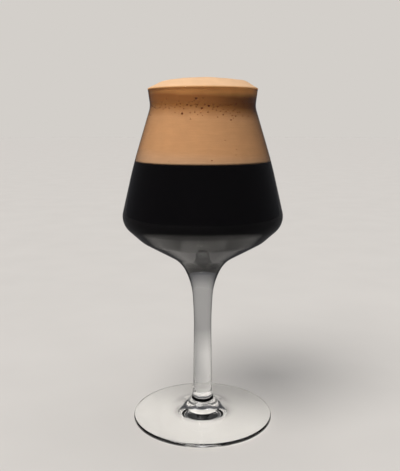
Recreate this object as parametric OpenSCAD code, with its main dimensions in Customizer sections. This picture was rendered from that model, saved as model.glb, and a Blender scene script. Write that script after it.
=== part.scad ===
// Stout in a stemmed beer glass with an angular bowl and a flared lip.
// Three separate solids: the glass, the stout inside it, and the head of foam that stands
// on the stout and domes over the rim. All of them are turned about the Z axis.
// Millimetres. Origin: centre of the foot's underside. Z is up.

/* [Foot] */
// Diameter of the foot
foot_d = 85; // [70:1:102]
// Thickness of the foot at its edge
foot_edge_h = 2.2; // [1.8:0.1:3.5]
// Rounding of the foot's edge
foot_edge_r = 0.9; // [0.3:0.1:1.2]
// Rise of the foot's top, from its edge to where it swells up to the stem
foot_rise = 2.6; // [1.5:0.1:4.5]
// Diameter at which that swell starts
swell_d = 38; // [33:0.5:42]
// Rounding at its start
swell_r = 28; // [10:1:40]
// Height of the swell, up to the foot of the stem
swell_h = 4.7; // [3.5:0.1:7]
// Width of the flat ring that the foot rests on
rest_w = 3.6; // [3:0.1:8]
// Height of the shallow hollow under the foot
hollow_h = 1.2; // [0.6:0.1:2.5]
// Diameter of the dimple in the middle of the hollow
dimple_d = 16.6; // [12:0.2:20]
// Depth of that dimple above the hollow
dimple_h = 1.4; // [0.8:0.1:2.5]

/* [Stem] */
// Diameter of the stem where it runs into the foot
stem_foot_d = 12; // [10.5:0.1:16]
// Fillet between the stem and the foot
stem_foot_r = 14; // [8:0.5:16]
// Diameter of the stem at its waist
stem_waist_d = 10.4; // [8:0.1:12.5]
// Fillet that rounds the waist
stem_waist_r = 240; // [80:10:400]
// Height from the foot of the stem to its waist
stem_low_h = 53; // [40:1:80]
// Diameter of the stem where it starts to open into the bowl
stem_top_d = 12.6; // [11:0.1:15]
// Fillet where the stem starts to open
stem_top_r = 53; // [20:1:60]
// Height from the waist to there
stem_high_h = 20.7; // [15:0.1:35]

/* [Bowl] */
// Thickness of the bowl's wall
wall = 1.3; // [1:0.05:2]
// Diameter at the bowl's root, where the stem ends
root_d = 25.2; // [20:0.2:32]
// Fillet at the root
root_r = 20; // [8:0.5:24]
// Height from the opening stem to the root
root_h = 14.2; // [11:0.1:20]
// How far the floor inside the bowl lies above the root
floor_rise = 2.6; // [0:0.1:4]
// Fillet round that floor
floor_r = 6; // [3:0.5:24]
// Diameter halfway up the bowl's underside
under_d = 71.8; // [60:0.2:80]
// Rounding there
under_r = 20; // [10:1:40]
// Height from the root to there
under_h = 13.1; // [9:0.1:16]
// Diameter at the shoulder, before it is rounded
shoulder_d = 96.2; // [88:0.2:116]
// Rounding of the shoulder
shoulder_r = 11; // [5:0.5:14]
// Height from the underside's middle to the shoulder
shoulder_h = 11.2; // [9:0.1:18]
// Diameter halfway up the bowl's side
side_d = 80; // [74:0.2:88]
// Rounding there, which makes the side slightly convex
side_r = 300; // [100:10:500]
// Height from the shoulder to there
side_low_h = 34; // [25:0.5:45]
// Diameter at the neck, before it is rounded
neck_d = 60; // [50:0.5:72]
// Rounding of the neck
neck_r = 11.6; // [5:0.1:16]
// Height from the side's middle to the neck
side_high_h = 32.3; // [24:0.1:42]
// Outer diameter of the lip
lip_d = 62.6; // [54:0.2:76]
// Height of the flared lip above the neck
lip_h = 9.8; // [7:0.1:14]
// Rounding of the rim's two edges
rim_r = 0.55; // [0.2:0.05:0.6]

/* [Drink] */
// Depth of the head below the rim
head_h = 40.6; // [20:0.2:60]
// Height of the head's crown above the rim
crown_h = 5.9; // [5:0.1:12]
// Diameter of the flat crown
crown_d = 29; // [18:0.5:34]
// Height above the rim of the slope's middle
slope_h = 3.5; // [2:0.1:4.5]
// How far the slope's middle lies in from the rim
slope_w = 4.4; // [2.5:0.1:7]
// Rounding of the slope and of the crown
crown_r = 9; // [3:0.5:14]
// Clearance between the glass and what fills it
fit_gap = 0.1; // [0.05:0.05:0.3]

/* [Hidden] */

$fn = 96;
// Largest turn of one step along a rounded corner, in degrees
arc_step = 5;
// Fewest steps in a rounded corner
arc_least = 4;
// The most of a straight stretch that the rounding at one end may take
round_share = 0.49;
// More than the glass's radius and height, for cutting the drink at its level
clear_of_all = 400;

swell_z = foot_edge_h + foot_rise;
stem_foot_z = swell_z + swell_h;
waist_z = stem_foot_z + stem_low_h;
stem_top_z = waist_z + stem_high_h;
root_z = stem_top_z + root_h;
floor_z = root_z + floor_rise;
under_z = root_z + under_h;
shoulder_z = under_z + shoulder_h;
side_z = shoulder_z + side_low_h;
neck_z = side_z + side_high_h;
rim_z = neck_z + lip_h;
level_z = rim_z - head_h;
rest_r = foot_d / 2 - foot_edge_r - rest_w;

// A corner is [radius, height, rounding]. These run from the foot's underside up to the rim.
foot_corners = [
    [0, hollow_h + dimple_h, 0],
    [dimple_d / 4, hollow_h + dimple_h, dimple_d / 4],
    [dimple_d / 2, hollow_h, dimple_h / 2],
    [rest_r, 0, 0],
    [foot_d / 2, 0, foot_edge_r],
    [foot_d / 2, foot_edge_h, foot_edge_r],
    [swell_d / 2, swell_z, swell_r],
];
stem_corners = [
    [stem_foot_d / 2, stem_foot_z, stem_foot_r],
    [stem_waist_d / 2, waist_z, stem_waist_r],
    [stem_top_d / 2, stem_top_z, stem_top_r],
];
bowl_corners = [
    [root_d / 2, root_z, root_r],
    [under_d / 2, under_z, under_r],
    [shoulder_d / 2, shoulder_z, shoulder_r],
    [side_d / 2, side_z, side_r],
    [neck_d / 2, neck_z, neck_r],
    [lip_d / 2, rim_z, rim_r],
];

function point(corner) = [corner[0], corner[1]];
function along(a, b) = (point(b) - point(a)) / norm(point(b) - point(a));
// The direction square to the line from a to b, on its left: into the bowl, for the outline
function inward(a, b) = [-along(a, b)[1], along(a, b)[0]];
function turn(a, b, c) = acos(min(1, along(a, b) * along(b, c)));
function turn_side(a, b, c) = sign(cross(along(a, b), along(b, c)));

// The largest rounding at b that leaves part of both straight stretches
function rounding(a, b, c) =
    let (shorter = min(norm(point(b) - point(a)), norm(point(c) - point(b))))
    min(b[2], round_share * shorter / tan(turn(a, b, c) / 2));

// The points of the arc that rounds corner b, between its neighbours a and c
function arc(a, b, c) =
    let (
        radius = rounding(a, b, c),
        swing = turn(a, b, c),
        side = turn_side(a, b, c),
        start = point(b) - along(a, b) * radius * tan(swing / 2),
        centre = start + inward(a, b) * radius * side,
        steps = max(arc_least, ceil(swing / arc_step)),
        from = atan2((start - centre)[1], (start - centre)[0])
    )
    [for (i = [0:steps])
        let (angle = from + side * swing * i / steps)
        centre + radius * [cos(angle), sin(angle)]
    ];

// An outline through the corners, with each one between the first and the last rounded
function outline(corners) = concat(
    [point(corners[0])],
    [for (i = [1:len(corners) - 2])
        let (a = corners[i - 1], b = corners[i], c = corners[i + 1])
        for (p = b[2] > 0 ? arc(a, b, c) : [point(b)]) p
    ],
    [point(corners[len(corners) - 1])]
);

// Corner b moved into the bowl, so that both its sides move by the same depth
function inset(a, b, c, depth) =
    let (
        sides = inward(a, b) + inward(b, c),
        moved = point(b) + sides * depth / (1 + inward(a, b) * inward(b, c))
    )
    [moved[0], moved[1], max(0, b[2] - turn_side(a, b, c) * depth)];

// Where the line from a to b, moved into the bowl by the depth, reaches height z
function reach(a, b, depth, z) =
    let (start = point(a) + inward(a, b) * depth)
    start + along(a, b) * (z - start[1]) / along(a, b)[1];

// Corners of the space inside the bowl, from the middle of its floor up to the rim,
// at the given depth behind the outer surface
function inside_corners(depth) =
    let (
        lifted_z = floor_z + depth - wall,
        last = len(bowl_corners) - 1,
        low = reach(bowl_corners[0], bowl_corners[1], depth, lifted_z),
        high = reach(bowl_corners[last - 1], bowl_corners[last], depth, rim_z)
    )
    concat(
        [[0, lifted_z, 0], [low[0], lifted_z, floor_r]],
        [for (i = [1:last - 1])
            inset(bowl_corners[i - 1], bowl_corners[i], bowl_corners[i + 1], depth)
        ],
        [[high[0], rim_z, rim_r]]
    );

function reversed(list) = [for (i = [len(list) - 1:-1:0]) list[i]];

drink_corners = inside_corners(wall + fit_gap);
mouth_r = drink_corners[len(drink_corners) - 1][0];

module glass() {
    outer_corners = concat(foot_corners, stem_corners, bowl_corners);
    color([0.86, 0.88, 0.9, 0.45])
        rotate_extrude()
            polygon(outline(concat(outer_corners, reversed(inside_corners(wall)))));
}

// Everything that fills the bowl up to its rim
module filling() {
    rotate_extrude()
        polygon(concat(outline(drink_corners), [[0, rim_z]]));
}

module below_level() {
    translate([0, 0, level_z - clear_of_all])
        cylinder(h = clear_of_all, r = clear_of_all);
}

module stout() {
    color([0.06, 0.05, 0.05])
        intersection() {
            filling();
            below_level();
        }
}

// The foam above the rim: a steep edge, a gentler slope and a flat crown
module dome() {
    dome_corners = [
        [mouth_r, rim_z, 0],
        [mouth_r - slope_w, rim_z + slope_h, crown_r],
        [crown_d / 2, rim_z + crown_h, crown_r],
        [0, rim_z + crown_h, 0],
    ];
    rotate_extrude()
        polygon(concat(outline(dome_corners), [[0, rim_z]]));
}

module head() {
    color([0.74, 0.56, 0.4]) {
        difference() {
            filling();
            below_level();
        }
        dome();
    }
}

glass();
stout();
head();
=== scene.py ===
"""Stout with a deep head in a stemmed beer glass, laid out as a Blender add-on and run as a script.

Each piece has its own operator, and the sizes and colours that can be changed are properties of
the scene. Everything is in metres, in the same frame as the CAD model: Z up, with the origin at
the centre of the foot's underside.
"""

import math
import random

import bmesh
import bpy
from bpy.props import FloatProperty, FloatVectorProperty, IntProperty, PointerProperty
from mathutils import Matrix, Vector, noise


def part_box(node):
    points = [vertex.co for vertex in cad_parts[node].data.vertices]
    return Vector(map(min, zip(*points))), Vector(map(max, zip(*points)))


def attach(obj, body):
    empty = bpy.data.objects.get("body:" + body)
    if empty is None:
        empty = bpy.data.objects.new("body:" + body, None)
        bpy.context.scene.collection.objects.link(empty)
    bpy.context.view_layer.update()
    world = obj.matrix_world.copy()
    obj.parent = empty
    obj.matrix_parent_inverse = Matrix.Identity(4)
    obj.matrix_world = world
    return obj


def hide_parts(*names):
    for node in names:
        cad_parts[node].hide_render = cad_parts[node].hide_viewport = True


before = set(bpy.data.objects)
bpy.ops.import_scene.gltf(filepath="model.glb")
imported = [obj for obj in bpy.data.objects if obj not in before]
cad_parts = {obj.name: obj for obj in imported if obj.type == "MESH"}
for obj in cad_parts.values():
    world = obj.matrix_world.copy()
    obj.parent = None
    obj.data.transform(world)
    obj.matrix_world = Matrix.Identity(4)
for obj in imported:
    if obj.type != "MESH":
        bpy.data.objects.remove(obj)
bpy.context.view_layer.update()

bl_info = {
    "name": "Glass of Stout",
    "version": (1, 0, 0),
    "blender": (4, 5, 0),
    "location": "View3D > Sidebar > Stout",
    "description": "Builds a stemmed glass of stout with a domed head of foam",
    "category": "Add Mesh",
}

MM = 0.001
RIM_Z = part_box("glass")[1].z
LEVEL_Z, CROWN_Z = (end.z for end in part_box("head"))


def to_linear(code):
    """Linear red, green and blue of an sRGB hex colour."""
    channels = [int(code[i : i + 2], 16) / 255 for i in (1, 3, 5)]
    return tuple(c / 12.92 if c <= 0.04045 else ((c + 0.055) / 1.055) ** 2.4 for c in channels)


def corner(name, description, radius_mm, height_mm, rounding_mm):
    """A property that holds one corner of an outline."""
    return FloatVectorProperty(
        name=name,
        description=description + ": radius, height and rounding",
        default=(radius_mm * MM, height_mm * MM, rounding_mm * MM),
        size=3,
        unit="LENGTH",
        precision=5,
    )


def size(name, description, default_mm):
    """A property that holds one length."""
    return FloatProperty(
        name=name, description=description, default=default_mm * MM, unit="LENGTH", precision=5)


def colour(name, description, code):
    """A property that holds one colour."""
    return FloatVectorProperty(
        name=name, description=description, default=to_linear(code), subtype="COLOR", min=0, max=1)


class StoutGlassShape(bpy.types.PropertyGroup):
    """Sizes and tint of the glass."""

    dimple_floor: corner("Dimple floor", "Edge of the flat top of the dimple under the foot", 4.15, 2.6, 4.15)
    dimple_mouth: corner("Dimple mouth", "Mouth of the dimple under the foot", 8.3, 1.2, 0.7)
    rest: corner("Rest", "Inner edge of the ring that the foot rests on", 38, 0, 0)
    foot_bottom: corner("Foot, bottom edge", "Bottom edge of the foot", 42.5, 0, 0.9)
    foot_top: corner("Foot, top edge", "Top edge of the foot", 42.5, 2.2, 0.9)
    swell: corner("Swell", "Where the foot's top starts to swell up to the stem", 19, 4.8, 28)
    stem_foot: corner("Stem, foot", "Where the stem runs into the foot", 6, 9.5, 14)
    waist: corner("Stem, waist", "Waist of the stem", 5.2, 62.5, 240)
    stem_top: corner("Stem, top", "Where the stem opens", 6.3, 83.2, 53)
    root: corner("Bowl, root", "Root of the bowl", 12.6, 97.4, 20)
    under: corner("Bowl, underside", "Middle of the bowl's underside", 35.9, 110.5, 20)
    shoulder: corner("Bowl, shoulder", "Shoulder of the bowl", 48.1, 121.7, 11)
    side: corner("Bowl, side", "Middle of the bowl's side", 40, 155.7, 300)
    neck: corner("Bowl, neck", "Neck below the lip", 30, 188, 11.6)
    lip: corner("Bowl, lip", "Outer edge of the lip", 31.3, 197.8, 0.55)
    wall: size("Wall", "Thickness of the bowl's wall", 1.3)
    floor_rise: size("Floor rise", "How far the floor inside the bowl lies above its root", 2.6)
    floor_rounding: size("Floor rounding", "Rounding of that floor", 6)
    tint: colour("Tint", "Colour of the glass", "#FBFCFC")


class StoutDrink(bpy.types.PropertyGroup):
    """Sizes and colours of the stout and its head. Heights of the dome are above the rim."""

    reach: size("Reach", "How far stout and foam reach into the wall, so that no air gap shows", 0.3)
    lap: size("Lap", "How far the foam laps down over the rim", 0.3)
    edge: corner("Dome, edge", "Where the foam swells out over the rim", 31.35, 0.3, 0.5)
    brow: corner("Dome, brow", "Steep edge of the dome", 28.8, 1.7, 2)
    slope: corner("Dome, slope", "Shoulder of the dome", 24.2, 4.6, 5)
    crown: corner("Dome, crown", "Edge of the flat crown, whose height is from the head's top", 14.5, 0, 5)
    lump_height: size("Lump height", "Height of the dome's lumps", 0.35)
    lump_width: size("Lump width", "Width of the dome's lumps", 13)
    dent_depth: size("Dent depth", "Depth of the dent at the dome's left", 1.3)
    pit_count: IntProperty(
        name="Pit count", description="Small pits in the foam at the wall", default=150, min=0)
    pit_seed: IntProperty(name="Pit seed", description="Seed of the small pits' places", default=5)
    foam_low: colour("Foam, low", "Foam just above the stout", "#BB9674")
    foam_body: colour("Foam, body", "Foam in the bowl", "#BE9267")
    # Painted shade: the neck and the throat below it are coloured darker for the shade under the lip, and
    # partly for wetter foam
    foam_neck: colour("Foam, neck", "Wet foam in the neck", "#9A6232")
    # Painted shade: the colour that darkens the neck's right side, away from the key light
    foam_shaded_right: colour("Foam, wet", "The wettest foam, in the neck at the right", "#4A2408")
    # Painted shade under the lip, partly wetter foam
    foam_throat: colour("Foam, throat", "Damp foam below the neck", "#956332")
    # Painted light: the foam just below the rim is brighter, for the rim's glass highlight and against the
    # shade of the dome's overhang
    foam_lip: colour("Foam, lip", "Foam just below the rim", "#F2B26A")
    # Partly painted light: the dome is coloured paler for the top light that falls on it, besides its own
    # paler foam
    foam_crown: colour("Foam, crown", "Foam of the dome", "#EDC59D")
    # Painted shade: the back of a pit is coloured darker than the foam for the shade in its hollow, and
    # partly for wetter foam
    pit: colour("Pit", "Wet foam at the back of a pit", "#94502A")
    stout: colour("Stout", "The drink in bulk", "#050405")
    stout_edge: colour("Stout, edge", "Thin layer of the drink under the foam", "#4A3B2C")


class StoutStage(bpy.types.PropertyGroup):
    """The floor, the surroundings and the key light."""

    floor: colour("Floor", "Colour of the floor", "#D7D5D2")
    horizon: colour("Horizon", "Colour of the plain surroundings behind the floor", "#D3CFCA")
    # This colour is also painted into the floor beyond the glass, as a painted reflection in the glass
    shade: colour("Shade", "Colour of the dark room that the glass mirrors", "#4A4A4D")
    ceiling: colour("Ceiling", "Colour of the soft light overhead", "#F4F4F4")
    key_colour: colour("Key colour", "Colour of the key light", "#FFFAF5")
    key_strength: FloatProperty(
        name="Key strength", description="Strength of the key light", default=2.4, min=0)
    key_height: FloatProperty(
        name="Key height", description="Height of the key light over the horizon",
        default=math.radians(56), subtype="ANGLE")
    key_side: FloatProperty(
        name="Key side", description="How far the key light stands to the left",
        default=math.radians(38), subtype="ANGLE")


# --- outlines -------------------------------------------------------------------------------------

# Largest turn of one step along a rounded corner, and the fewest steps in one
ARC_STEP = math.radians(3)
ARC_LEAST = 6
# The most of a straight stretch that the rounding at one end may take
ROUND_SHARE = 0.49
# Below this turn two stretches count as one straight line
TURN_LEAST = 1e-6


def inward(a, b):
    """Unit vector square to the line from a to b, pointing into the bowl."""
    d = (Vector(b[:2]) - Vector(a[:2])).normalized()
    return Vector((-d.y, d.x))


def rounded(corners):
    """An outline through corners of (radius, height, rounding), rounded between the first and last."""
    points = [Vector(corners[0][:2])]
    for a, b, c in zip(corners, corners[1:], corners[2:]):
        here = Vector(b[:2])
        before, after = here - Vector(a[:2]), Vector(c[:2]) - here
        swing = -before.angle_signed(after)
        if b[2] <= 0 or abs(swing) < TURN_LEAST:
            points.append(here)
            continue
        most = ROUND_SHARE * min(before.length, after.length) / math.tan(abs(swing) / 2)
        radius = min(b[2], most)
        start = here - before.normalized() * radius * math.tan(abs(swing) / 2)
        centre = start + inward(a, b) * math.copysign(radius, swing)
        steps = max(ARC_LEAST, math.ceil(abs(swing) / ARC_STEP))
        spoke = start - centre
        for i in range(steps + 1):
            turn = swing * i / steps
            cos, sin = math.cos(turn), math.sin(turn)
            points.append(centre + Vector((spoke.x * cos - spoke.y * sin, spoke.x * sin + spoke.y * cos)))
    points.append(Vector(corners[-1][:2]))
    return points


def inset(a, b, c, depth):
    """Corner b moved into the bowl by a depth measured square to both its sides."""
    n, m = inward(a, b), inward(b, c)
    moved = Vector(b[:2]) + (n + m) * depth / (1 + n.dot(m))
    turn = math.copysign(1, n.cross(m))
    return (moved.x, moved.y, max(0.0, b[2] - turn * depth))


def reach_height(a, b, depth, height):
    """Where the line from a to b, moved into the bowl by the depth, reaches the height."""
    start = Vector(a[:2]) + inward(a, b) * depth
    along = (Vector(b[:2]) - Vector(a[:2])).normalized()
    return start + along * (height - start.y) / along.y


def outer_corners(shape):
    """The corners of the glass's outside, from the middle of its underside to the lip."""
    names = (
        "dimple_floor dimple_mouth rest foot_bottom foot_top swell stem_foot waist stem_top "
        "root under shoulder side neck lip"
    ).split()
    corners = [tuple(getattr(shape, name)) for name in names]
    return [(0.0, corners[0][1], 0.0)] + corners


def inside_corners(shape, depth):
    """The corners of the space in the bowl, from the middle of its floor to the rim, at a depth
    behind the glass's outside."""
    bowl = [tuple(getattr(shape, name)) for name in "root under shoulder side neck lip".split()]
    floor_z = bowl[0][1] + shape.floor_rise + depth - shape.wall
    low = reach_height(bowl[0], bowl[1], depth, floor_z)
    high = reach_height(bowl[-2], bowl[-1], depth, bowl[-1][1])
    middle = [inset(a, b, c, depth) for a, b, c in zip(bowl, bowl[1:], bowl[2:])]
    floor = [(0.0, floor_z, 0.0), (low.x, floor_z, shape.floor_rounding)]
    return floor + middle + [(high.x, bowl[-1][1], bowl[-1][2])]


def cut_at(points, height):
    """The part of a rising outline below the height, ending exactly there."""
    kept = [p for p in points if p.y < height]
    below, above = kept[-1], points[len(kept)]
    return kept + [below.lerp(above, (height - below.y) / (above.y - below.y))]


def radius_at(points, height):
    """Radius of a rising outline at a height."""
    for low, high in zip(points, points[1:]):
        if low.y <= height < high.y:
            return low.lerp(high, (height - low.y) / (high.y - low.y)).x
    raise ValueError("the outline doesn't reach this height")


def finely(points, step):
    """The outline with no stretch longer than the step."""
    out = [points[0]]
    for a, b in zip(points, points[1:]):
        parts = max(1, math.ceil((b - a).length / step))
        out += [a.lerp(b, i / parts) for i in range(1, parts + 1)]
    return out


# --- meshes ---------------------------------------------------------------------------------------


def new_object(name, mesh):
    """Links a new object with the mesh, in the frame, shaded smooth."""
    piece = bpy.data.objects.new(name, mesh)
    bpy.context.scene.collection.objects.link(piece)
    mesh.polygons.foreach_set("use_smooth", [True] * len(mesh.polygons))
    return piece


def turned_mesh(name, outline, segments, place=None):
    """A closed mesh turned about Z from an outline of (radius, height) that starts and ends on the
    axis. place, if given, moves each point."""
    place = place or (lambda p: p)
    bm = bmesh.new()
    first = bm.verts.new(place(Vector((0, 0, outline[0].y))))
    rings = []
    for point in outline[1:-1]:
        ring = []
        for i in range(segments):
            angle = 2 * math.pi * i / segments
            x, y = point.x * math.cos(angle), point.x * math.sin(angle)
            ring.append(bm.verts.new(place(Vector((x, y, point.y)))))
        rings.append(ring)
    last = bm.verts.new(place(Vector((0, 0, outline[-1].y))))
    for i in range(segments):
        j = (i + 1) % segments
        bm.faces.new((first, rings[0][j], rings[0][i]))
        bm.faces.new((last, rings[-1][i], rings[-1][j]))
        for low, high in zip(rings, rings[1:]):
            bm.faces.new((low[i], low[j], high[j], high[i]))
    bmesh.ops.recalc_face_normals(bm, faces=bm.faces)
    mesh = bpy.data.meshes.new(name)
    bm.to_mesh(mesh)
    bm.free()
    return mesh


# --- materials ------------------------------------------------------------------------------------

# Where the dark and the light end of a noise pattern usually lie, and of two multiplied
NOISE_DARK = 0.3
NOISE_LIGHT = 0.7
PRODUCT_DARK = 0.12
PRODUCT_LIGHT = 0.4

# Glass: width and height of the waves that blowing leaves in it, in millimetres
WAVE_WIDTH = 14
WAVE_HEIGHT = 0.02
# How strongly it mirrors, kept low so that no grey veil lies on the drink
GLASS_SPECULAR = 0.22
# The light that comes through into its own shadow
GLASS_SHADOW = (0.92, 0.92, 0.92, 1)
# Painted shade at its edges, for the dark room that they mirror and show through: how far it is turned to its
# edge, and the share of the light that it keeps there
EDGE_PAINTED_SHADE = ((0.3, 1.0), (0.6, 0.8), (0.8, 0.45), (1.0, 0.2))
# Painted shade on the stem: how much further it counts as turned to its edge, and the height in which that
# sets in
STEM_PAINTED_SHADE = 0.16
STEM_FADE = 6 * MM

# Stout: width and drift of its swirls under the foam, and the layer in which it turns brown, all
# in millimetres
SWIRL_WIDTH = 6
SWIRL_DRIFT = 0.5
BROWN_BELOW = 0.8
BROWN_ABOVE = 0.4
# Share of that layer that is still black
STILL_BLACK = 0.5

# Foam: the top of its colour ramp, how far its layers wander, and how much they slope to the side
FOAM_TOP_Z = RIM_Z + 2 * MM
LAYER_DRIFT = 4 * MM
LAYER_TILT = 0.05
# Its colours by the depth below the rim in millimetres: darker in the throat and neck with painted shade
# under the lip, partly for wetter foam, and brighter just below the rim with painted light. Then the band, by
# depth, in which its right side takes painted shade
FOAM_LAYERS = (
    (40, "foam_low"), (34, "foam_body"), (17, "foam_body"), (10, "foam_throat"), (5, "foam_neck"),
    (1.2, "foam_lip"),
)
RIGHT_SHADE_BAND = ((15, 0), (9, 1), (5, 1), (2, 0))
# Painted shade on the neck's right side, away from the key light: how strong it gets, and how far out that
# starts and is full
RIGHT_SHADE = 0.55
RIGHT_SHADE_FROM = 2 * MM
RIGHT_SHADE_TO = 26 * MM
# Height above and below the rim in which the colour turns to the dome's
LIP_BLEND = 0.6 * MM
# Width of its patterns in millimetres. The streaks are this many times as wide as they are high
DRIFT_WIDTH = 22
STREAK_WIDTH = 10
STREAK_FLATNESS = 14
CLOUD_WIDTH = 5
BUBBLE_WIDTH = 0.7
BUBBLE_HEIGHT = 0.12
SOAK_WIDTH = 1.5
# Darkest and lightest that the streaks and clouds make it, and the darkest in a pit
MOTTLE_FROM = 0.93
MOTTLE_TO = 1.03
PIT_DARKEST = 0.6

# Paper: width of its unevenness in millimetres, and how dark that makes it
PAPER_WIDTH = 60
PAPER_DARKEST = 0.97
# Painted reflection: in what the glass mirrors and shows through, the floor is pale up to the first of these
# distances from the origin, and painted in the room's dark colour from the second on
MIRRORED_PALE_END = 0.1
MIRRORED_DARK_FROM = 0.16
# How much of the pale surroundings near the floor still shows through glass
SEEN_THROUGH = 0.45


def feed(tree, node, inputs):
    """Sets a node's inputs, and links those whose value is another node's output."""
    for name, value in inputs.items():
        if isinstance(value, bpy.types.NodeSocket):
            tree.links.new(value, node.inputs[name])
        else:
            node.inputs[name].default_value = value


def add_node(tree, kind, attributes=None, inputs=None, stops=None):
    """Adds a node, sets its attributes, feeds its inputs, and fills its colour ramp."""
    node = tree.nodes.new(kind)
    for name, value in (attributes or {}).items():
        setattr(node, name, value)
    feed(tree, node, inputs or {})
    if stops:
        elements = node.color_ramp.elements
        while len(elements) < len(stops):
            elements.new(1.0)
        for element, (position, rgb) in zip(elements, stops):
            element.position = position
            element.color = (*rgb, 1)
    return node


def new_material(name):
    """A new node material, its tree and its Principled BSDF."""
    material = bpy.data.materials.new(name)
    material.use_nodes = True
    tree = material.node_tree
    return material, tree, tree.nodes["Principled BSDF"]


def per_metre(feature_mm):
    """Texture scale at which one feature of the pattern measures the given millimetres."""
    return 1.0 / (feature_mm * MM)


def dimmed(rgb, share):
    """A colour that keeps only a share of its light."""
    return [c * share for c in rgb]


def painted_edge_shade(tree, coords, shape):
    """The glass's colour, with painted shade: darker where it is seen edge on, for the dark room that it
    mirrors and shows through there, and darker on the stem than on the foot."""
    split = add_node(tree, "ShaderNodeSeparateXYZ", inputs={"Vector": coords.outputs["Object"]})
    foot_z = shape.stem_foot[1]
    above_foot = add_node(tree, "ShaderNodeMapRange", inputs={
        "Value": split.outputs["Z"], "From Min": foot_z, "From Max": foot_z + STEM_FADE,
        "To Max": STEM_PAINTED_SHADE})
    below_bowl = add_node(tree, "ShaderNodeMapRange", inputs={
        "Value": split.outputs["Z"], "From Min": shape.stem_top[1], "From Max": shape.under[1],
        "To Min": STEM_PAINTED_SHADE, "To Max": 0.0})
    upright = add_node(tree, "ShaderNodeMath", {"operation": "MINIMUM"}, {
        0: above_foot.outputs["Result"], 1: below_bowl.outputs["Result"]})
    slant = add_node(tree, "ShaderNodeLayerWeight", inputs={"Blend": 0.5})
    edge_on = add_node(tree, "ShaderNodeMath", {"operation": "ADD"}, {
        0: slant.outputs["Facing"], 1: upright.outputs[0]})
    # Painted shade: the glass's colour darkens towards its edges and on the stem
    ramp = add_node(tree, "ShaderNodeValToRGB", inputs={"Fac": edge_on.outputs[0]}, stops=[
        (turn, dimmed(shape.tint, share)) for turn, share in EDGE_PAINTED_SHADE])
    return ramp.outputs["Color"]


def soda_lime_glass(shape):
    """Soda-lime glass, blown and fire polished: clear, with faint waves in its surface, and painted grey
    where it is seen edge on and on the stem, a painted shade for the dark room that it mirrors and shows
    through. Lamps shine through it on what it holds and on the floor."""
    material, tree, shader = new_material("Fire polished soda-lime glass")
    coords = add_node(tree, "ShaderNodeTexCoord")
    waves = add_node(tree, "ShaderNodeTexNoise", inputs={
        "Vector": coords.outputs["Object"], "Scale": per_metre(WAVE_WIDTH), "Detail": 1.0})
    bump = add_node(tree, "ShaderNodeBump", inputs={
        "Strength": 0.15, "Distance": WAVE_HEIGHT * MM, "Height": waves.outputs["Fac"]})
    feed(tree, shader, {
        "Base Color": painted_edge_shade(tree, coords, shape), "Normal": bump.outputs["Normal"],
        "Roughness": 0.0, "IOR": 1.5, "Transmission Weight": 1.0, "Specular IOR Level": GLASS_SPECULAR})
    rays = add_node(tree, "ShaderNodeLightPath")
    clear = add_node(tree, "ShaderNodeBsdfTransparent", inputs={"Color": GLASS_SHADOW})
    both = add_node(tree, "ShaderNodeMixShader", inputs={
        0: rays.outputs["Is Shadow Ray"], 1: shader.outputs["BSDF"], 2: clear.outputs["BSDF"]})
    feed(tree, tree.nodes["Material Output"], {"Surface": both.outputs["Shader"]})
    return material


def stout_liquid(drink):
    """Stout, a dark roasted beer: black in bulk, and brown only in the thin layer under the foam."""
    material, tree, shader = new_material("Stout")
    coords = add_node(tree, "ShaderNodeTexCoord")
    split = add_node(tree, "ShaderNodeSeparateXYZ", inputs={"Vector": coords.outputs["Object"]})
    swirl = add_node(tree, "ShaderNodeTexNoise", inputs={
        "Vector": coords.outputs["Object"], "Scale": per_metre(SWIRL_WIDTH), "Detail": 2.0})
    wander = add_node(tree, "ShaderNodeMath", {"operation": "MULTIPLY_ADD"}, {
        0: swirl.outputs["Fac"], 1: SWIRL_DRIFT * MM, 2: split.outputs["Z"]})
    height = add_node(tree, "ShaderNodeMapRange", inputs={
        "Value": wander.outputs[0],
        "From Min": LEVEL_Z - BROWN_BELOW * MM, "From Max": LEVEL_Z + BROWN_ABOVE * MM})
    ramp = add_node(tree, "ShaderNodeValToRGB", inputs={"Fac": height.outputs["Result"]}, stops=[
        (STILL_BLACK, drink.stout), (1.0, drink.stout_edge)])
    feed(tree, shader, {
        "Base Color": ramp.outputs["Color"], "Roughness": 0.4, "Specular IOR Level": 0.0})
    return material


def foam_share(below_rim_mm):
    """Place in the foam's colour ramps of a depth below the rim."""
    return (RIM_Z - below_rim_mm * MM - LEVEL_Z + LAYER_DRIFT / 2) / (FOAM_TOP_Z - LEVEL_Z)


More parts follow.
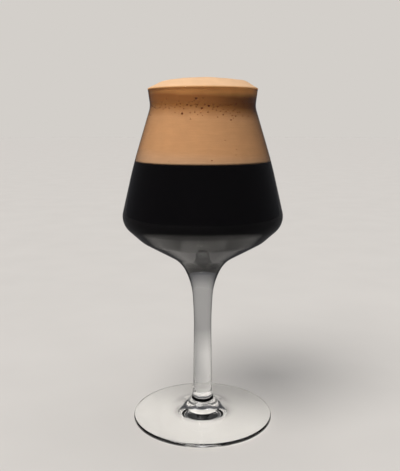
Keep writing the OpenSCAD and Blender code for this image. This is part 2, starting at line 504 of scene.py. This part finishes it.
def foam_layers(tree, coords, drink):
    """The foam's colour: in drifting layers in the glass, darker in the neck with painted shade, most at the
    right, away from the key light, and paler on the dome, partly with painted top light."""
    split = add_node(tree, "ShaderNodeSeparateXYZ", inputs={"Vector": coords.outputs["Object"]})
    drift = add_node(tree, "ShaderNodeTexNoise", inputs={
        "Vector": coords.outputs["Object"], "Scale": per_metre(DRIFT_WIDTH), "Detail": 3.0})
    wander = add_node(tree, "ShaderNodeMath", {"operation": "MULTIPLY_ADD"}, {
        0: drift.outputs["Fac"], 1: LAYER_DRIFT, 2: split.outputs["Z"]})
    tilted = add_node(tree, "ShaderNodeMath", {"operation": "MULTIPLY_ADD"}, {
        0: split.outputs["X"], 1: LAYER_TILT, 2: wander.outputs[0]})
    height = add_node(tree, "ShaderNodeMapRange", inputs={
        "Value": tilted.outputs[0], "From Min": LEVEL_Z, "From Max": FOAM_TOP_Z})
    layers = add_node(tree, "ShaderNodeValToRGB", inputs={"Fac": height.outputs["Result"]}, stops=[
        (foam_share(depth), getattr(drink, name)) for depth, name in FOAM_LAYERS])
    # Painted shade: the neck's right side turns darker, away from the key light
    band = add_node(tree, "ShaderNodeValToRGB", inputs={"Fac": height.outputs["Result"]}, stops=[
        (foam_share(depth), (wetness, wetness, wetness)) for depth, wetness in RIGHT_SHADE_BAND])
    to_right = add_node(tree, "ShaderNodeMapRange", inputs={
        "Value": split.outputs["X"], "From Min": RIGHT_SHADE_FROM, "From Max": RIGHT_SHADE_TO, "To Max": RIGHT_SHADE})
    soak_and_shade = add_node(tree, "ShaderNodeMath", {"operation": "MULTIPLY"}, {
        0: band.outputs["Color"], 1: to_right.outputs["Result"]})
    shaded_right = add_node(tree, "ShaderNodeMix", {"data_type": "RGBA"}, {
        0: soak_and_shade.outputs[0], 6: layers.outputs["Color"], 7: (*drink.foam_shaded_right, 1)})
    # Partly painted light: the dome takes its paler colour, in part for the top light on it
    above = add_node(tree, "ShaderNodeMapRange", inputs={
        "Value": split.outputs["Z"], "From Min": RIM_Z - LIP_BLEND, "From Max": RIM_Z + LIP_BLEND})
    dome = add_node(tree, "ShaderNodeMix", {"data_type": "RGBA"}, {
        0: above.outputs["Result"], 6: shaded_right.outputs[2], 7: (*drink.foam_crown, 1)})
    return dome.outputs[2]


def beer_foam(drink):
    """Foam of a creamy stout: bubbles too fine to see one by one, which scatter light, so it is matte and
    tan. It is browner in the neck, with painted shade and partly wetter foam, and its layers show as faint
    level streaks."""
    material, tree, shader = new_material("Creamy stout foam")
    coords = add_node(tree, "ShaderNodeTexCoord")
    level = add_node(tree, "ShaderNodeMapping", inputs={
        "Vector": coords.outputs["Object"], "Scale": (1, 1, STREAK_FLATNESS)})
    streaks = add_node(tree, "ShaderNodeTexNoise", inputs={
        "Vector": level.outputs["Vector"], "Scale": per_metre(STREAK_WIDTH), "Detail": 3.0})
    clouds = add_node(tree, "ShaderNodeTexNoise", inputs={
        "Vector": coords.outputs["Object"], "Scale": per_metre(CLOUD_WIDTH), "Detail": 5.0})
    unevenness = add_node(tree, "ShaderNodeMath", {"operation": "MULTIPLY"}, {
        0: streaks.outputs["Fac"], 1: clouds.outputs["Fac"]})
    mottle = add_node(tree, "ShaderNodeMapRange", inputs={
        "Value": unevenness.outputs[0], "From Min": PRODUCT_DARK, "From Max": PRODUCT_LIGHT,
        "To Min": MOTTLE_FROM, "To Max": MOTTLE_TO})
    mottled = add_node(tree, "ShaderNodeVectorMath", {"operation": "SCALE"}, {
        0: foam_layers(tree, coords, drink), "Scale": mottle.outputs["Result"]})
    # The real bubbles are about 0.1 mm across; these are drawn coarser, to show
    cells = add_node(tree, "ShaderNodeTexVoronoi", inputs={
        "Vector": coords.outputs["Object"], "Scale": per_metre(BUBBLE_WIDTH)})
    bump = add_node(tree, "ShaderNodeBump", inputs={
        "Strength": 0.3, "Distance": BUBBLE_HEIGHT * MM, "Height": cells.outputs["Distance"]})
    feed(tree, shader, {
        "Base Color": mottled.outputs["Vector"], "Normal": bump.outputs["Normal"],
        "Roughness": 0.8, "Specular IOR Level": 0.15})
    return material


def pit_foam(drink):
    """The skin of foam at the back of a pit: the same foam, wetter and a little shiny, and coloured darker as
    painted shade in the hollow.
    """
    material, tree, shader = new_material("Wet foam in a pit")
    coords = add_node(tree, "ShaderNodeTexCoord")
    soak_and_shade = add_node(tree, "ShaderNodeTexNoise", inputs={
        "Vector": coords.outputs["Object"], "Scale": per_metre(SOAK_WIDTH), "Detail": 2.0})
    ramp = add_node(tree, "ShaderNodeValToRGB", inputs={"Fac": soak_and_shade.outputs["Fac"]}, stops=[
        (NOISE_DARK, dimmed(drink.pit, PIT_DARKEST)), (NOISE_LIGHT, drink.pit)])
    feed(tree, shader, {
        "Base Color": ramp.outputs["Color"], "Roughness": 0.6, "Specular IOR Level": 0.1})
    return material


def paper_sweep(stage):
    """Matte studio paper, pale, with a faint unevenness. Painted reflection: in what the glass mirrors, the
    paper is pale only near the glass and painted in the room's dark colour beyond, and through the stem it
    shows part of that dark."""
    material, tree, shader = new_material("Matte studio paper")
    coords = add_node(tree, "ShaderNodeTexCoord")
    fibre = add_node(tree, "ShaderNodeTexNoise", inputs={
        "Vector": coords.outputs["Object"], "Scale": per_metre(PAPER_WIDTH), "Detail": 2.0})
    ramp = add_node(tree, "ShaderNodeValToRGB", inputs={"Fac": fibre.outputs["Fac"]}, stops=[
        (NOISE_DARK, dimmed(stage.floor, PAPER_DARKEST)), (NOISE_LIGHT, stage.floor)])
    # Painted reflection: rays that the glass mirrors or lets through see the paper beyond the glass in the
    # room's dark colour
    rays = add_node(tree, "ShaderNodeLightPath")
    distance = add_node(tree, "ShaderNodeVectorMath", {"operation": "LENGTH"}, {
        0: coords.outputs["Object"]})
    beyond = add_node(tree, "ShaderNodeMapRange", inputs={
        "Value": distance.outputs["Value"], "From Min": MIRRORED_PALE_END, "From Max": MIRRORED_DARK_FROM})
    clearer = add_node(tree, "ShaderNodeMath", {"operation": "MULTIPLY_ADD"}, {
        0: rays.outputs["Is Transmission Ray"], 1: -SEEN_THROUGH, 2: 1.0})
    in_glass = add_node(tree, "ShaderNodeMath", {"operation": "MULTIPLY"}, {
        0: rays.outputs["Is Singular Ray"], 1: clearer.outputs[0]})
    painted_dark_share = add_node(tree, "ShaderNodeMath", {"operation": "MULTIPLY"}, {
        0: in_glass.outputs[0], 1: beyond.outputs["Result"]})
    seen = add_node(tree, "ShaderNodeMix", {"data_type": "RGBA"}, {
        0: painted_dark_share.outputs[0], 6: ramp.outputs["Color"], 7: (*stage.shade, 1)})
    feed(tree, shader, {"Base Color": seen.outputs[2], "Roughness": 0.9})
    return material


# --- pieces ---------------------------------------------------------------------------------------

# How many faces go round the glass and the stout, and round the foam, whose pits need finer ones
AROUND = 192
AROUND_FOAM = 240
# Longest face along the stout's outline and along the foam's
STOUT_STEP = 3 * MM
FOAM_STEP = 0.8 * MM
# Where the foam leaves the wall, below the rim's rounding
WALL_END_Z = RIM_Z - 1 * MM
# Rounding under the lap of foam on the rim
LAP_ROUNDING = 0.1 * MM

# Height above the rim at which the dome's lumps are full
LUMPS_FULL = 2.5 * MM
# Size of the small lumps on the large ones, and how far the lumps lie below the smooth dome
SMALL_LUMPS = 0.25
LUMPS_SUNK = 0.5
# The dent: its spread round the dome, and its distance from the axis and width
DENT_SPREAD = math.radians(38)
DENT_RING = 20 * MM
DENT_WIDTH = 6 * MM

# Pits that show best: angle from the front in degrees, depth below the rim and diameter in millimetres
LARGE_PITS = (
    (-7, 6.3, 1.2), (-16, 9.6, 0.8), (-28, 9.4, 0.7), (-20, 11.7, 0.7), (-1, 11.5, 1.2), (2, 9.5, 0.75),
    (6, 10.2, 1.25), (5, 13.6, 0.7), (15, 10.7, 0.95), (34, 15.6, 0.8), (28, 17.5, 0.8), (7, 38.4, 0.7),
    (32, 12.8, 0.7), (30, 15.2, 0.7), (37, 13.8, 0.6), (26, 12.2, 0.6), (-42, 10.9, 0.6), (48, 5.4, 0.6),
    (24, 13.4, 0.6), (28, 14.2, 0.5), (34, 12.1, 0.5), (31, 16.6, 0.5), (21, 12.2, 0.55), (11, 9.6, 0.6),
    (-11, 8, 0.5), (-9, 7.4, 0.45), (-24, 10.4, 0.45), (10, 12, 0.5), (18, 9.6, 0.6), (-4, 8.2, 0.5),
)
# Small pits, in millimetres: usual depth below the rim and its spread, and least and most diameter
PIT_DEPTH = 10.5
PIT_SPREAD = 2.8
PIT_WIDTHS = (0.45, 0.7)
# Every third one lies near another pit, within about this many degrees
NEAR_EVERY = 3
NEAR_SPREAD = 6
# Every ninth one is wider, and every sixteenth lies low, well below the neck, and is narrow
WIDE_EVERY = 9
WIDE_WIDTHS = (0.8, 1.2)
LOW_EVERY = 16
LOW_DEPTHS = (18, 39)
# Least and most depth of any small pit, and the length of one degree round the neck
DEPTH_LEAST = 4
DEPTH_MOST = 39.5
MM_PER_DEGREE = 0.5
# How much shallower a pit is than half a ball, and how fine its ball is
PIT_FLATNESS = 0.3
PIT_FINENESS = 2


def pit_places(drink):
    """Angle, depth below the rim and diameter of every pit, in degrees and millimetres. The small
    ones lie all round, most of them in the neck, and none cuts into another."""
    chance = random.Random(drink.pit_seed)
    pits = list(LARGE_PITS)
    for i in range(drink.pit_count):
        while True:
            near = chance.choice(pits)[0] + chance.gauss(0, NEAR_SPREAD)
            angle = near if i % NEAR_EVERY == 0 else chance.uniform(-180, 180)
            depth, width = chance.gauss(PIT_DEPTH, PIT_SPREAD), chance.uniform(*PIT_WIDTHS)
            if i % LOW_EVERY == 0:
                depth, width = chance.uniform(*LOW_DEPTHS), PIT_WIDTHS[0]
            elif i % WIDE_EVERY == 0:
                width = chance.uniform(*WIDE_WIDTHS)
            clear = all(
                math.hypot((angle - a) * MM_PER_DEGREE, depth - d) > width + w for a, d, w in pits)
            if clear and DEPTH_LEAST < depth < DEPTH_MOST:
                pits.append((angle, depth, width))
                break
    return pits


def pit_cutters(drink, wall):
    """One mesh with a blunt dart for every pit, which reaches out past the foam's skin."""
    bm = bmesh.new()
    for angle, depth, width in pit_places(drink):
        height = RIM_Z - depth * MM
        outward = Vector((math.sin(math.radians(angle)), -math.cos(math.radians(angle)), 0))
        centre = outward * (radius_at(wall, height) - drink.reach) + Vector((0, 0, height))
        radius = width * MM / 2
        ball = bmesh.ops.create_icosphere(bm, subdivisions=PIT_FINENESS, radius=radius)["verts"]
        for vert in ball:
            out = vert.co.dot(outward)
            stretch = 2 * drink.reach / radius if out > 0 else -PIT_FLATNESS
            vert.co += centre + outward * out * stretch
    mesh = bpy.data.meshes.new("pits")
    bm.to_mesh(mesh)
    bm.free()
    return mesh


def carve(piece, cutter_mesh):
    """Cuts a closed mesh out of the piece. The cut faces keep the cutter's material."""
    cutter = new_object("cutter", cutter_mesh)
    cut = piece.modifiers.new("Cut", "BOOLEAN")
    cut.operation = "DIFFERENCE"
    cut.solver = "MANIFOLD"
    cut.object = cutter
    cut.material_mode = "TRANSFER"
    evaluated = piece.evaluated_get(bpy.context.evaluated_depsgraph_get())
    carved = bpy.data.meshes.new_from_object(evaluated)
    piece.modifiers.clear()
    piece.data = carved
    bpy.data.objects.remove(cutter)


def uneven(drink):
    """A function that gives the dome its lumps and its dent, and leaves the foam in the glass as it is."""

    def place(point):
        rise = min(1, max(0, (point.z - RIM_Z) / LUMPS_FULL))
        lumps = noise.noise(point / drink.lump_width)
        lumps += SMALL_LUMPS * noise.noise(point / (drink.lump_width * SMALL_LUMPS))
        round_left = math.atan2(point.y, -point.x) / DENT_SPREAD
        from_ring = (math.hypot(point.x, point.y) - DENT_RING) / DENT_WIDTH
        dent = math.exp(-round_left**2 - from_ring**2)
        lift = drink.lump_height * (lumps - LUMPS_SUNK) - drink.dent_depth * dent
        return point + Vector((0, 0, rise * lift))

    return place


def dome_corners(drink, mouth_radius):
    """The corners of the dome, from where the foam leaves the wall to the middle of its crown."""
    lap_z, crown_z = RIM_Z - drink.lap, CROWN_Z + drink.crown[1]
    lap = [(mouth_radius - drink.reach, lap_z, 0), (drink.edge[0], lap_z, LAP_ROUNDING)]
    slope = [(x, RIM_Z + z, r) for x, z, r in (drink.edge, drink.brow, drink.slope)]
    return lap + slope + [(drink.crown[0], crown_z, drink.crown[2]), (0, crown_z, 0)]


class STOUT_OT_glass(bpy.types.Operator):
    """Turn the glass: foot, stem and thin bowl in one piece"""

    bl_idname = "stout.glass"
    bl_label = "Glass"

    def execute(self, context):
        shape = context.scene.stout_glass
        corners = outer_corners(shape) + inside_corners(shape, shape.wall)[::-1]
        mesh = turned_mesh("stemmed_glass", rounded(corners), AROUND)
        mesh.materials.append(soda_lime_glass(shape))
        piece = new_object("stemmed_glass", mesh)
        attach(piece, "root")
        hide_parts("glass")
        return {"FINISHED"}


class STOUT_OT_stout(bpy.types.Operator):
    """Pour the stout up to its level"""

    bl_idname = "stout.stout"
    bl_label = "Stout"

    def execute(self, context):
        shape, drink = context.scene.stout_glass, context.scene.stout_drink
        side = rounded(inside_corners(shape, shape.wall - drink.reach))
        outline = finely(cut_at(side, LEVEL_Z), STOUT_STEP) + [Vector((0, LEVEL_Z))]
        mesh = turned_mesh("stout", outline, AROUND)
        mesh.materials.append(stout_liquid(drink))
        piece = new_object("stout_fill", mesh)
        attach(piece, "root")
        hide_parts("stout")
        return {"FINISHED"}


class STOUT_OT_head(bpy.types.Operator):
    """Raise the head of foam with its uneven dome and its pits"""

    bl_idname = "stout.head"
    bl_label = "Head"

    def execute(self, context):
        shape, drink = context.scene.stout_glass, context.scene.stout_drink
        side = rounded(inside_corners(shape, shape.wall - drink.reach))
        wall = [cut_at(side, LEVEL_Z)[-1]] + [p for p in side if LEVEL_Z < p.y < WALL_END_Z]
        dome = rounded(dome_corners(drink, side[-1].x))
        outline = [Vector((0, LEVEL_Z))] + finely(wall + dome, FOAM_STEP)
        mesh = turned_mesh("head", outline, AROUND_FOAM, uneven(drink))
        mesh.materials.append(beer_foam(drink))
        piece = new_object("foam_head", mesh)
        pits = pit_cutters(drink, side)
        pits.materials.append(pit_foam(drink))
        carve(piece, pits)
        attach(piece, "root")
        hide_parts("head")
        return {"FINISHED"}


# --- stage ----------------------------------------------------------------------------------------

# Radius of the floor in metres, how many sides it has, and how far it lies below the foot, so that
# the two don't coincide
FLOOR_RADIUS = 8
FLOOR_SIDES = 96
FLOOR_DROP = 0.3 * MM
# Heights in the sky, from 0 at the horizon to 1 overhead: where the soft light starts and is full,
# and how far up the pale surroundings show through glass
CEILING_START = 0.7
CEILING_FULL = 0.88
PALE_TO = 0.35
# The angle that the key light fills, as wide as a large window, so that its shadows are soft
KEY_WIDTH = math.radians(40)
# Camera: focal length in millimetres, place, and how far it looks down
LENS = 47.8
EYE = (-0.0016, -0.3652, 0.1785)
LOOK_DOWN = math.radians(10.14)
NEAREST = 0.01


def add_floor(stage):
    """Lays the round paper floor just below the foot."""
    bm = bmesh.new()
    bmesh.ops.create_circle(bm, cap_ends=True, segments=FLOOR_SIDES, radius=FLOOR_RADIUS)
    mesh = bpy.data.meshes.new("floor")
    bm.to_mesh(mesh)
    bm.free()
    mesh.materials.append(paper_sweep(stage))
    floor = new_object("floor", mesh)
    floor.location.z = -FLOOR_DROP


def studio_world(stage):
    """The surroundings: a dark room with a soft light overhead. Seen directly, they are as plain
    and pale as the floor, and so they are, in part, through glass near the floor's height."""
    world = bpy.data.worlds.new("Studio")
    world.use_nodes = True
    tree = world.node_tree
    coords = add_node(tree, "ShaderNodeTexCoord")
    split = add_node(tree, "ShaderNodeSeparateXYZ", inputs={"Vector": coords.outputs["Generated"]})
    room = add_node(tree, "ShaderNodeValToRGB", inputs={"Fac": split.outputs["Z"]}, stops=[
        (CEILING_START, stage.shade), (CEILING_FULL, stage.ceiling)])
    rays = add_node(tree, "ShaderNodeLightPath")
    near_floor = add_node(tree, "ShaderNodeMapRange", inputs={
        "Value": split.outputs["Z"], "From Max": PALE_TO, "To Min": SEEN_THROUGH, "To Max": 0.0})
    through = add_node(tree, "ShaderNodeMath", {"operation": "MULTIPLY"}, {
        0: rays.outputs["Is Transmission Ray"], 1: near_floor.outputs["Result"]})
    plain = add_node(tree, "ShaderNodeMath", {"operation": "MAXIMUM"}, {
        0: rays.outputs["Is Camera Ray"], 1: through.outputs[0]})
    seen = add_node(tree, "ShaderNodeMix", {"data_type": "RGBA"}, {
        0: plain.outputs[0], 6: room.outputs["Color"], 7: (*stage.horizon, 1)})
    feed(tree, tree.nodes["Background"], {"Color": seen.outputs[2]})
    return world


def add_key(stage):
    """Hangs the soft key light, high in front at the left."""
    sun = bpy.data.lights.new("key", "SUN")
    sun.energy = stage.key_strength
    sun.angle = KEY_WIDTH
    sun.color = stage.key_colour
    key = bpy.data.objects.new("key", sun)
    key.rotation_euler = (math.radians(90) - stage.key_height, 0, -stage.key_side)
    bpy.context.scene.collection.objects.link(key)


def add_camera():
    """Sets the camera in front of the glass, a little above its middle."""
    camera = bpy.data.cameras.new("camera")
    camera.lens = LENS
    camera.clip_start = NEAREST
    eye = bpy.data.objects.new("camera", camera)
    eye.location = EYE
    eye.rotation_euler = (math.radians(90) - LOOK_DOWN, 0, 0)
    bpy.context.scene.collection.objects.link(eye)
    bpy.context.scene.camera = eye


class STOUT_OT_stage(bpy.types.Operator):
    """Set the floor, the light and the camera"""

    bl_idname = "stout.stage"
    bl_label = "Stage"

    def execute(self, context):
        stage = context.scene.stout_stage
        context.scene.view_settings.view_transform = "Standard"
        add_floor(stage)
        context.scene.world = studio_world(stage)
        add_key(stage)
        add_camera()
        return {"FINISHED"}


# --- add-on ---------------------------------------------------------------------------------------


class STOUT_PT_panel(bpy.types.Panel):
    """The buttons, in the order in which the pieces are made"""

    bl_idname = "STOUT_PT_panel"
    bl_label = "Glass of Stout"
    bl_space_type = "VIEW_3D"
    bl_region_type = "UI"
    bl_category = "Stout"

    def draw(self, context):
        for operator in OPERATORS:
            self.layout.operator(operator.bl_idname)


OPERATORS = (STOUT_OT_stage, STOUT_OT_glass, STOUT_OT_stout, STOUT_OT_head)
CLASSES = (StoutGlassShape, StoutDrink, StoutStage, *OPERATORS, STOUT_PT_panel)
GROUPS = {"stout_glass": StoutGlassShape, "stout_drink": StoutDrink, "stout_stage": StoutStage}


def register():
    for cls in CLASSES:
        bpy.utils.register_class(cls)
    for name, group in GROUPS.items():
        setattr(bpy.types.Scene, name, PointerProperty(type=group))


def unregister():
    for name in GROUPS:
        delattr(bpy.types.Scene, name)
    for cls in reversed(CLASSES):
        bpy.utils.unregister_class(cls)


def main():
    register()
    bpy.ops.stout.stage()
    bpy.ops.stout.glass()
    bpy.ops.stout.stout()
    bpy.ops.stout.head()


if __name__ == "__main__":
    main()
